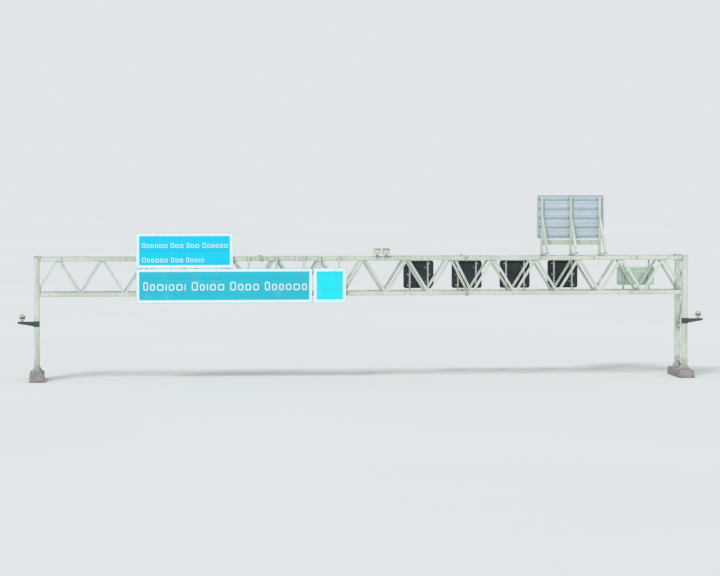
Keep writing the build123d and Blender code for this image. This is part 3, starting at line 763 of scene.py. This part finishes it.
def make_brace_bolts():
    """Bolts through the ends of the flat bracing, with heads above and nuts below."""
    bar_setbacks, diagonal_setbacks = (0.035, 0.085), (0.085, 0.125)
    size, thread = 0.009, 0.004
    reach = SIDE_Y - CHORD / 2
    spots = []
    for z, shift, first in ((TOP_CHORD, BAY / 2, 0), (BOTTOM_CHORD, 0.0, 1)):
        nodes = [-HALF_SPAN + shift + i * BAY for i in range(first, BAY_COUNT)]
        spots += [(x, way * (reach - back), z) for x, way, back in product(nodes, BOTH, bar_setbacks)]
        outer = [-TRUSS_END + BRACE_SETBACK] + nodes[: END_BAYS + 1]
        outer[-1] -= SITE_BRACE_SETBACK
        for corners, mirrors in ((outer, (1, -1)), (nodes[END_BAYS:-END_BAYS], (1,))):
            for i, (left, right) in enumerate(zip(corners, corners[1:])):
                way = 1 if i % 2 else -1
                start, end = Vector((left, way * reach)), Vector((right, -way * reach))
                along = (end - start).normalized()
                for back in diagonal_setbacks:
                    for x, y in (start + back * along, end - back * along):
                        spots += [(mirror * x, y, z) for mirror in mirrors]
    bm = bmesh.new()
    for x, y, z in spots:
        add_bolt(bm, level(z + BRACE / 2), (x, y), size)
        add_bolt(bm, level(z - BRACE / 2, -1), (x, y), size, thread)
    add_piece("brace_bolts", bm, "zinc")


def make_end_plate_bolts():
    """Bolts through the plates that join the truss to its columns."""
    rows, margin, near = 5, 0.018, 0.04
    low, high = BOTTOM_CHORD - FLANGE_BOLT, END_PLATE_TOP - margin
    top_rows = [TOP_CHORD - FLANGE_BOLT, TOP_CHORD, TOP_CHORD + FLANGE_BOLT]
    heights = [low + (high - low) * i / (rows - 1) for i in range(rows)] + top_rows
    spots = list(product((-FLANGE_BOLT, FLANGE_BOLT), heights))
    spots += product((-near, near), (top_rows[0], top_rows[-1], low))
    bm = bmesh.new()
    for side, y, (u, z) in product(BOTH, TRUSSES, spots):
        add_bolt(bm, crosswise(side * (TRUSS_END - FLANGE_THICK), -side), (y + u, z))
    add_piece("end_plate_bolts", bm, "zinc")


def make_column_feet():
    """Mortar beds, anchor studs and welds at the feet of the four columns."""
    bed_foot, bed_top, bed_radius = 0.47, 0.42, 0.02
    bed_edge_out, bed_out = 0.004, 0.014
    stud_pitch, stud, stud_thread = 0.15, 0.018, 0.022
    studs_round = [(i * stud_pitch, j * stud_pitch) for i, j in product((-1, 0, 1), repeat=2) if i or j]
    beds, studs, welds = new_meshes(3)
    place = level(BASE_PLATE_TOP)
    for side, y in product(BOTH, TRUSSES):
        x = side * HALF_SPAN
        wide, narrow = [rounded_rectangle(w, w, bed_radius, (x, y), steps=3) for w in (bed_foot, bed_top)]
        add_loft(beds, level(PLINTH_TOP), ((wide, -2 * SINK), (wide, bed_edge_out), (narrow, bed_out)))
        rings = [(cut_square(COLUMN + growth, COLUMN_CORNER, (x, y)), out) for growth, out in WELD_SECTION]
        add_loft(welds, place, rings, closed=True)
        for u, v in studs_round:
            add_bolt(studs, place, (x + u, y + v), stud, stud_thread)
    add_piece("mortar_beds", beds, "concrete")
    add_piece("anchor_studs", studs, "zinc")
    add_piece("column_welds", welds, "steel")


def make_post_bolts():
    """Bolts at the corners of each bracket between a post and a chord."""
    reach = (0.058, 0.052)
    bm = bmesh.new()
    for spot in product(TALL_POSTS + SHORT_POSTS + END_POSTS, CHORDS):
        add_bolts(bm, upright(POST_BRACKET_FACE, -1), spot, reach, size=0.011)
    add_piece("post_bracket_bolts", bm, "zinc")


def make_rear_frame_bolts():
    """Bolts through the foot plates of the frames behind the rear sign, and through the tie beam."""
    foot_reach, beam_reach = (0.068, 0.05), 0.05
    bm = bmesh.new()
    for spot in product(REAR_FRAMES, TRUSSES):
        add_bolts(bm, level(FRAME_FOOT_TOP), spot, foot_reach, size=0.012)
    _, beam_z = middle("rear_sign_tie_beam")
    beam_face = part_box("rear_sign_tie_beam")[1].y
    for x, v in product(REAR_FRAMES, (-beam_reach, beam_reach)):
        add_bolt(bm, upright(beam_face, 1), (x, beam_z + v), size=0.011)
        add_bolt(bm, upright(REAR_POST_FACE - FRAME_BAR, -1), (x, beam_z + v), size=0.011)
    add_piece("rear_frame_bolts", bm, "zinc")


def make_leg_bolts():
    """Pairs of bolts through the ends of the struts between the columns."""
    reach = SIDE_Y - COLUMN / 2
    setbacks = (0.04, 0.1)
    bm = bmesh.new()
    for side, way, z, end, back in product(BOTH, BOTH, LEG_STRUTS, BOTH, setbacks):
        place = crosswise(side * HALF_SPAN + way * LEG_STRUT / 2, way)
        add_bolt(bm, place, (end * (reach - back), z), size=0.011)
    add_piece("leg_strut_bolts", bm, "zinc")


def make_web_welds():
    """Weld beads where the webs meet the chords."""
    rise = TOP_CHORD - BOTTOM_CHORD
    slope = rise / (BAY / 2)
    run_in = CHORD / 2 / slope
    section_long = WEB * hypot(rise, BAY / 2) / rise
    bm = bmesh.new()
    for y, index, way, up in product(TRUSSES, range(BAY_COUNT), BOTH, BOTH):
        node = -HALF_SPAN + (index + 0.5) * BAY - (way * BAY / 2 if up > 0 else 0.0)
        if abs(node) < HALF_SPAN - COLUMN / 2:
            z = (BOTTOM_CHORD if up > 0 else TOP_CHORD) + up * CHORD / 2
            rings = []
            for growth, out in WELD_SECTION:
                x = node + up * way * (run_in + max(out, 0.0) / slope)
                rings.append((rectangle(section_long + growth, WEB + growth, (x, y)), out))
            add_loft(bm, level(z, up), rings, closed=True)
    add_piece("web_welds", bm, "steel")


# Lane signals and message sign


def add_diodes(bm, place, centre, columns, rows):
    """A grid of small light diodes."""
    size = 0.3 * DIODE_PITCH
    dome = ((size, 0.0), (0.85 * size, 0.4 * size), (0.35 * size, 0.7 * size))
    for i, j in product(range(columns), range(rows)):
        u = centre[0] + (i - (columns - 1) / 2) * DIODE_PITCH
        v = centre[1] + (j - (rows - 1) / 2) * DIODE_PITCH
        add_disc(bm, place, (u, v), dome, sides=6)


def add_louvres(bm, place, centre, width, count, pitch):
    """Sloping slats over a ventilated area."""
    slat, lip, drop, out = 0.8 * pitch, 0.12 * pitch, 0.34 * pitch, 0.011
    for i in range(count):
        v = centre[1] + (i - (count - 1) / 2) * pitch
        back, edge = rectangle(width, slat, (centre[0], v)), rectangle(width, lip, (centre[0], v - drop))
        add_loft(bm, place, ((back, -SINK), (edge, out)))


def add_hood(bm, place, centre, radius, reach, thickness):
    """A half tube over the top of a lamp, cut back towards its ends."""
    steps, least_reach = 14, 0.25
    arcs = [ring_polygon(r, 2 * steps, centre)[: steps + 1] for r in (radius, radius - thickness)]
    rows = []
    for i, (outer, inner) in enumerate(zip(*arcs)):
        out = reach * (least_reach + (1 - least_reach) * sin(pi * i / steps))
        rows.append([(*outer, 0.0), (*outer, out), (*inner, out), (*inner, 0.0)])
    add_skin(bm, place, rows)


def add_eye(bm, centre):
    """A lifting eye: an upright ring on a small collar."""
    radius, tube = 0.022, 0.006
    section = ring_polygon(tube, 8, (radius, 0.0))
    rows = []
    for u, v in ring_polygon(1.0, 16):
        rows.append([(reach * u, side, reach * v + radius + tube) for reach, side in section])
    add_skin(bm, Matrix.Translation(centre), rows, closed=True)
    collar = ((2.6 * tube, -2 * SINK), (2.2 * tube, 1.5 * tube))
    add_disc(bm, level(centre[2]), centre[:2], collar, sides=16)


def add_lock(bm, place, centre, radius, out):
    """A round lock with a sloping edge."""
    slope_in, slope_out = 0.004, 0.003
    rings = ((radius, -SINK), (radius, out), (radius - slope_in, out + slope_out))
    add_disc(bm, place, centre, rings, sides=20)


def add_rail_bracket(bm, centre, width, bolt_shift, bolt_size):
    """A plate between a housing and its upright rail, with one bolt."""
    height, thick = 0.07, 0.008
    add_plate(bm, upright(SIGNAL_BACK, -1), width, height, centre, -SINK, thick)
    add_bolt(bm, upright(SIGNAL_BACK - thick, -1), (centre[0] + bolt_shift, centre[1]), bolt_size)


def make_rail_clamps(rails):
    """Angle cleats and bolts that hold the upright rails to the far chords."""
    cleats, bolts = new_meshes(2)
    leg, thick, tall = 0.034, 0.005, 0.1
    bolting = ((-0.03, 0.03), 0.6 * leg, 0.0075)
    for x, z, side in product(rails, CHORDS, BOTH):
        corner = (x + side * SIGNAL_RAIL / 2, CHORD_FACE, z)
        add_angle(cleats, bolts, corner, (side, 1), (leg, thick, tall), -SINK, bolting)
    add_piece("rail_clamps", cleats, "zinc")
    add_piece("rail_clamp_bolts", bolts, "zinc")


def make_signal_fronts(places):
    """Lamps with lenses and hoods, and the diode board, on the front of each lane signal."""
    board, board_root, board_out, diode_root, count = 0.512, 0.008, 0.003, 0.0105, 16
    lens, lens_edge, dome, dome_out = 0.064, 0.011, 0.062, 0.024
    rim = (0.078, 0.0645, -SINK, 0.014)
    hood, hood_root, hood_reach, hood_thick = 0.0775, 0.013, 0.06, 0.003
    angles = [radians(a) for a in (12, 30, 48, 64, 78, 86)]
    profile = [(lens, 0.0), (lens, lens_edge)]
    profile += [(dome * cos(a), lens_edge + dome_out * sin(a)) for a in angles]
    recess = SIGNAL_FACE - RECESS
    place = upright(recess, 1)
    boards, diodes, lenses, rims = new_meshes(4)
    for x, z in places:
        add_plate(boards, upright(recess + board_root, 1), board, board, (x, z), -2 * SINK, board_out)
        add_diodes(diodes, upright(recess + diode_root, 1), (x, z), count, count)
        for i, j in CORNERS:
            spot = (x + i * LAMP_X, z + j * LAMP_Z)
            add_disc(lenses, place, spot, profile, sides=32)
            add_hoop(rims, place, spot, rim, sides=32)
            add_hood(rims, upright(recess + hood_root, 1), spot, hood, hood_reach, hood_thick)
    add_piece("lane_signal_boards", boards, "board")
    add_piece("lane_signal_diodes", diodes, "diode", smooth=50)
    add_piece("lane_signal_lenses", lenses, "amber", smooth=40)
    add_piece("lane_signal_lamp_hoods", rims, "signal", smooth=40)


def make_signal_backs(places):
    """Hinges, locks, louvres, eyes and rail brackets on the back of each lane signal."""
    hinge_x, hinge_z, knuckle, knuckle_long = 0.306, 0.3, 0.011, 0.08
    lock_x, lock_z, lock, lock_out = 0.255, 0.27, 0.022, 0.006
    key_wide, key_tall, key_low, key_out = 0.012, 0.05, 0.009, 0.018
    louvres, louvre_wide, louvre_pitch = ((-0.27, 7), (0.3, 5)), 0.36, 0.032
    eye_x, bracket_x, bracket_z, bracket_wide = 0.42, SIGNAL_RAIL_X + 0.065, 0.42, 0.075
    middle_y = (SIGNAL_BACK + SIGNAL_FACE) / 2
    door_face = SIGNAL_BACK - SIGNAL_DOOR
    door = upright(door_face, -1)
    hinge = ((knuckle, 0.0), (knuckle, knuckle_long))
    parts, metal = new_meshes(2)
    for x, z in places:
        for v in (-hinge_z, 0.0, hinge_z):
            add_disc(metal, level(z + v - knuckle_long / 2), (x - hinge_x, door_face), hinge, sides=12)
        for v in (-lock_z, lock_z):
            add_lock(metal, door, (x + lock_x, z + v), lock, lock_out)
            add_plate(metal, door, key_wide, key_tall, (x + lock_x, z + v), key_low, key_out)
        for v, count in louvres:
            add_louvres(parts, door, (x, z + v), louvre_wide, count, louvre_pitch)
        for i in BOTH:
            add_eye(metal, (x + i * eye_x, middle_y, z + SIGNAL_HEIGHT / 2))
            for v in (-bracket_z, 0.0, bracket_z):
                spot = (x + i * bracket_x, z + v)
                add_rail_bracket(metal, spot, bracket_wide, bolt_shift=i * 0.012, bolt_size=0.011)
    add_piece("lane_signal_louvres", parts, "signal")
    add_piece("lane_signal_hardware", metal, "zinc", smooth=40)


def make_message_details():
    """Diodes on the front of the message sign; louvres, locks, brackets and eyes on its back."""
    board_wide, board_tall, board_out, diode_root = 1.34, 0.59, 0.006, 0.0055
    hatch_x, hatch_wide, hatch_tall = 0.25, 0.42, 0.56
    hatch_bar, hatch_radius, hatch_out = 0.018, 0.02, 0.006
    louvre_wide, louvre_pitch, louvre_count = 0.272, 0.036, 9
    lock_x, lock_z, lock, lock_out = 0.06, 0.24, 0.02, 0.008
    eye_x, bracket_x, bracket_wide = 0.61, MESSAGE_RAIL_X + 0.046, 0.03
    columns, rows = 42, 18
    x, z = middle("message_sign")
    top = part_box("message_sign")[1].z
    recess = MESSAGE_FACE - RECESS
    back = upright(SIGNAL_BACK, -1)
    board, diodes, louvres, metal = new_meshes(4)
    add_plate(board, upright(recess, 1), board_wide, board_tall, (x, z), -2 * SINK, board_out)
    add_diodes(diodes, upright(recess + diode_root, 1), (x, z), columns, rows)
    for way in BOTH:
        hatch = (x + way * hatch_x, z)
        add_louvres(louvres, back, hatch, louvre_wide, louvre_count, louvre_pitch)
        outer, inner = [
            rounded_rectangle(hatch_wide - 2 * inset, hatch_tall - 2 * inset, hatch_radius, hatch, steps=3)
            for inset in (0.0, hatch_bar)
        ]
        add_frame(louvres, back, outer, inner, -SINK, hatch_out)
        add_eye(metal, (x + way * eye_x, (SIGNAL_BACK + MESSAGE_FACE) / 2, top))
        for v in (-lock_z, lock_z):
            add_lock(metal, back, (x + way * lock_x, z + v), lock, lock_out)
            spot = (x + way * bracket_x, z + v)
            add_rail_bracket(metal, spot, bracket_wide, bolt_shift=way * 0.001, bolt_size=0.01)
    add_piece("message_board", board, "board")
    add_piece("message_diodes", diodes, "diode", smooth=50)
    add_piece("message_louvres", louvres, "message")
    add_piece("message_hardware", metal, "zinc", smooth=40)


def make_signals():
    """Everything on the lane signals, the message sign and their rails."""
    places = [middle(f"lane_signal_{i}") for i in (1, 2, 3, 4)]
    rails = [x + way * SIGNAL_RAIL_X for x, _ in places for way in BOTH]
    message_x, _ = middle("message_sign")
    make_rail_clamps(rails + [message_x - MESSAGE_RAIL_X, message_x + MESSAGE_RAIL_X])
    make_signal_fronts(places)
    make_signal_backs(places)
    make_message_details()


# Detectors and cameras


def make_detector_details():
    """Radomes, bezels, cable glands and screws of the two detectors, and the saddle's bolts."""
    radome = [(0.074, -0.01), (0.074, -0.006), (0.062, 0.0)]
    radome += [(0.045, 0.0035), (0.024, 0.0055), (0.008, 0.006)]
    bezel, bezel_screws = (0.092, 0.0735, -SINK, 0.007), 0.083
    gland, gland_drop = ((0.02, -SINK), (0.02, 0.018), (0.014, 0.03)), 0.06
    collar, collar_screws = (0.062, 0.041, -SINK, 0.01), 0.052
    wall_reach, saddle_reaches = (0.14, 0.07), ((0.12, 0.05), (0.34, 0.05))
    window_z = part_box("detector_housings")[1].z - WINDOW_DROP
    saddle_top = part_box("detector_saddle")[0].z + SADDLE_THICK
    front, rear = [-SIDE_Y + way * DETECTOR_HALF_DEPTH for way in BOTH]
    radomes, bezels, metal = new_meshes(3)
    for x in DETECTORS:
        place = upright(front, -1)
        add_disc(radomes, place, (x, window_z), radome, sides=32)
        add_hoop(bezels, place, (x, window_z), bezel, sides=32)
        for spot in ring_polygon(bezel_screws, 12, (x, window_z))[1::2]:
            add_bolt(metal, upright(front - bezel[-1], -1), spot, size=0.0045)
        add_disc(metal, upright(rear, 1), (x, window_z - gland_drop), gland, sides=6)
        add_hoop(bezels, level(saddle_top), (x, -SIDE_Y), collar)
        for spot in ring_polygon(collar_screws, 8, (x, -SIDE_Y))[1::2]:
            add_bolt(metal, level(saddle_top + collar[-1]), spot, size=0.005)
        for side in BOTH:
            wall = crosswise(x + side * DETECTOR_HALF_WIDTH, side)
            add_bolts(metal, wall, (-SIDE_Y, window_z), wall_reach, size=0.006)
    for reach in saddle_reaches:
        add_bolts(metal, level(saddle_top), (sum(DETECTORS) / 2, -SIDE_Y), reach, size=0.012)
    add_piece("detector_radomes", radomes, "radome", smooth=40)
    add_piece("detector_bezels", bezels, "detector", smooth=40)
    add_piece("detector_hardware", metal, "zinc")


def camera_profile():
    """The turned shape of a dome camera: (radius, height above its arm) from the foot to the crown."""
    foot = [(0.07, 0.0), (0.07, 0.011), (0.066, 0.015), (0.04, 0.016), (0.036, 0.022), (0.035, 0.078)]
    drum = [(0.05, 0.09), (0.1, 0.09), (0.108, 0.094), (0.11, 0.1), (0.11, 0.118)]
    window = [(0.101, 0.12), (0.101, 0.158)]
    shade = [(0.11, 0.16), (0.11, 0.178), (0.122, 0.18), (0.124, 0.184), (0.124, 0.19), (0.121, 0.192)]
    crown, crown_foot, crown_rise = 0.108, 0.193, 0.089
    angles = [radians(a) for a in (12, 24, 36, 48, 60, 72, 82)]
    top = [(crown * cos(a), crown_foot + crown_rise * sin(a)) for a in angles]
    return foot + drum + window + shade + [(0.109, crown_foot)] + top


def make_camera(side, name):
    """A turned dome camera in place of the CAD one, and the bolts of its arm's collar."""
    window = (0.1045, 0.1, 0.1205, 0.1575)
    foot_screws, clamp_face, clamp_x, clamp_heights = 0.055, 0.114, 0.078, (2.11, 2.24)
    place, centre = level(ARM_TOP), (side * DOME_X, -SIDE_Y)
    body, glass, metal = new_meshes(3)
    add_disc(body, place, centre, camera_profile(), sides=48)
    add_piece(name + "_camera", body, "dome", smooth=35)
    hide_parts(name + "_camera_dome")
    add_hoop(glass, place, centre, window, sides=48)
    add_piece(name + "_camera_window", glass, "glass", smooth=35)
    for spot in ring_polygon(foot_screws, 6, centre):
        add_bolt(metal, level(ARM_TOP + ARM_PLATE), spot, size=0.0055)
    for way, u, z in product(BOTH, (-clamp_x, clamp_x), clamp_heights):
        wall = crosswise(side * HALF_SPAN + way * clamp_face, way)
        add_bolt(metal, wall, (-SIDE_Y + u, z), size=0.01, thread=0.006)
    add_piece(name + "_camera_bolts", metal, "zinc")


# Scene


def dress_cad():
    """Gives each CAD node its material."""
    by_word = {
        "plinth": "concrete",
        "_panel": "back",
        "_rails": "rail",
        "lane_signal": "signal",
        "message_sign": "message",
        "detector_housings": "detector",
        "camera_arm": "arm",
        "camera_dome": "dome",
    }
    for name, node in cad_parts.items():
        found = [material for word, material in by_word.items() if word in name] + ["steel"]
        node.data.materials.clear()
        node.data.materials.append(materials[found[0]])


def make_floor():
    """A plain pale floor."""
    bm = bmesh.new()
    add_disc(bm, level(0.0), (0.0, 0.0), ((FLOOR_RADIUS, -1.0), (FLOOR_RADIUS, 0.0)), sides=96)
    add_object("floor", bm, make_floor_material())


def make_light():
    """An even sky, and one soft sun from the upper left of the camera."""
    world = bpy.data.worlds.new("studio")
    bpy.context.scene.world = world
    world.use_nodes = True
    tree = world.node_tree
    sky = add_node(tree, "Background", {"Color": SKY, "Strength": SKY_STRENGTH})
    shown = add_node(tree, "Background", {"Color": linear(BACKGROUND), "Strength": 1.0})
    rays = add_node(tree, "LightPath").outputs
    seen = rays["Is Camera Ray"]
    for kind in ("Is Glossy Ray", "Is Transmission Ray"):
        seen = add_node(tree, "Math", {0: seen, 1: rays[kind]}, operation="ADD", use_clamp=True).outputs[0]
    mix = add_node(tree, "MixShader", {0: seen, 1: sky.outputs[0], 2: shown.outputs[0]})
    tree.links.new(mix.outputs[0], tree.nodes["World Output"].inputs[0])

    lamp = bpy.data.lights.new("sun", "SUN")
    lamp.energy = SUN_STRENGTH
    lamp.angle = SUN_WIDTH
    sun = bpy.data.objects.new("sun", lamp)
    bpy.context.scene.collection.objects.link(sun)
    sun.rotation_euler = SUN_PLACE.to_track_quat("Z", "Y").to_euler()


def make_camera_view():
    """A camera at the photograph's standpoint."""
    data = bpy.data.cameras.new("camera")
    data.lens = data.sensor_width / 2 / tan(CAMERA_ANGLE / 2)
    data.clip_end = CAMERA_REACH
    camera = bpy.data.objects.new("camera", data)
    bpy.context.scene.collection.objects.link(camera)
    camera.location = CAMERA_PLACE
    camera.rotation_euler = (CAMERA_TARGET - CAMERA_PLACE).to_track_quat("-Z", "Y").to_euler()
    bpy.context.scene.camera = camera


materials = make_materials()
dress_cad()
make_sign_faces()
make_cleats()
make_back_ribs()
make_splice_bolts()
make_brace_bolts()
make_end_plate_bolts()
make_column_feet()
make_post_bolts()
make_rear_frame_bolts()
make_leg_bolts()
make_web_welds()
make_signals()
make_detector_details()
make_camera(-1, "left")
make_camera(1, "right")
make_floor()
make_light()
make_camera_view()
bpy.context.scene.view_settings.view_transform = "Standard"
